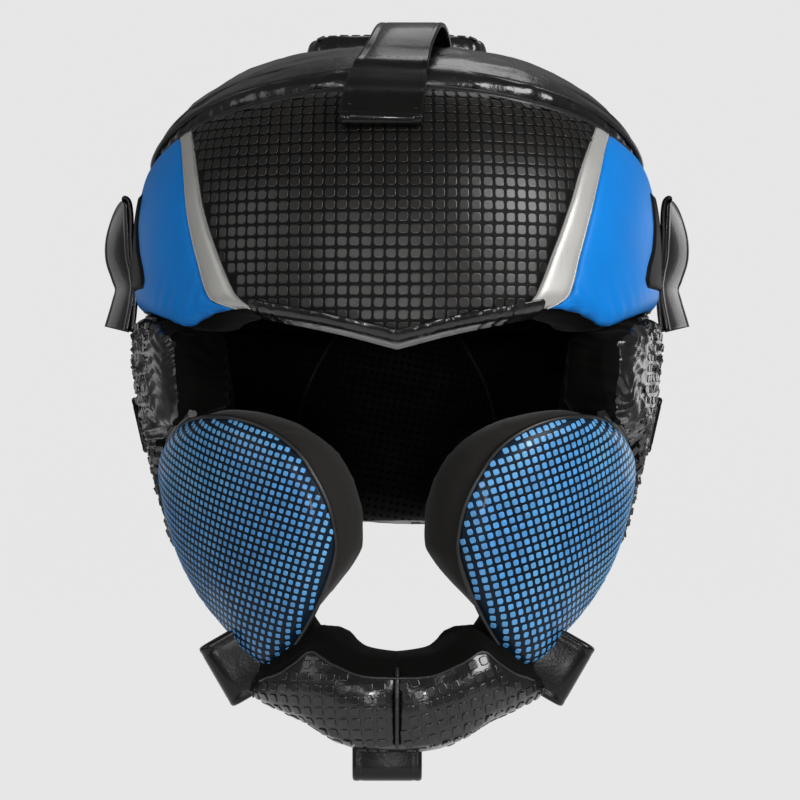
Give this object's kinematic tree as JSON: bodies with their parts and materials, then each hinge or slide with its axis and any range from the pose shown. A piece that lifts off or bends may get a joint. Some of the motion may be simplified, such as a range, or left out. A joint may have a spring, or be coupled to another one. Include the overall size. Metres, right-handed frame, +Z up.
{
  "type": "full-face sparring headgear",
  "caption": "Padded full-face sparring headgear with forehead, crown, cheek and chin pads round an open head cavity, and strap loops that take a face cage.",
  "frame": {"origin": "the crown's inner top, where the top of the head sits", "axes": "+Z up as worn, the face looks along -Y, +X is the wearer's left"},
  "size_m": [0.2362, 0.2491, 0.2879],
  "materials": {
    "grid_black": "glossy black coated leather embossed with a grid of small squares",
    "gloss_black": "glossy crinkled black coated leather",
    "lining_black": "matt black lining",
    "temple_blue": "satin blue coated leather",
    "cheek_blue": "glossy film over a black net printed with blue squares",
    "stripe_silver": "satin silver coated leather",
    "strap_black": "semi-gloss black stitched strap"
  },
  "bodies": {
    "root": {"forehead_pad": "lining_black", "forehead_cover": "grid_black", "forehead_stripe_right": "stripe_silver", "forehead_stripe_left": "stripe_silver", "temple_cover_right": "temple_blue", "temple_cover_left": "temple_blue", "crown_pad": "gloss_black", "top_pad": "strap_black", "back_pad": "gloss_black", "nape_pad": "gloss_black", "side_pad_right": "gloss_black", "side_pad_left": "gloss_black", "cheek_pad_right": "lining_black", "cheek_pad_left": "lining_black", "cheek_cover_right": "cheek_blue", "cheek_cover_left": "cheek_blue", "chin_bar_right": "grid_black", "chin_bar_left": "grid_black", "nape_strap": "strap_black", "top_strap": "strap_black", "temple_loop_right": "strap_black", "temple_loop_left": "strap_black", "chin_loop_right": "strap_black", "chin_loop_left": "strap_black", "chin_tab": "strap_black"}
  },
  "joints": []
}
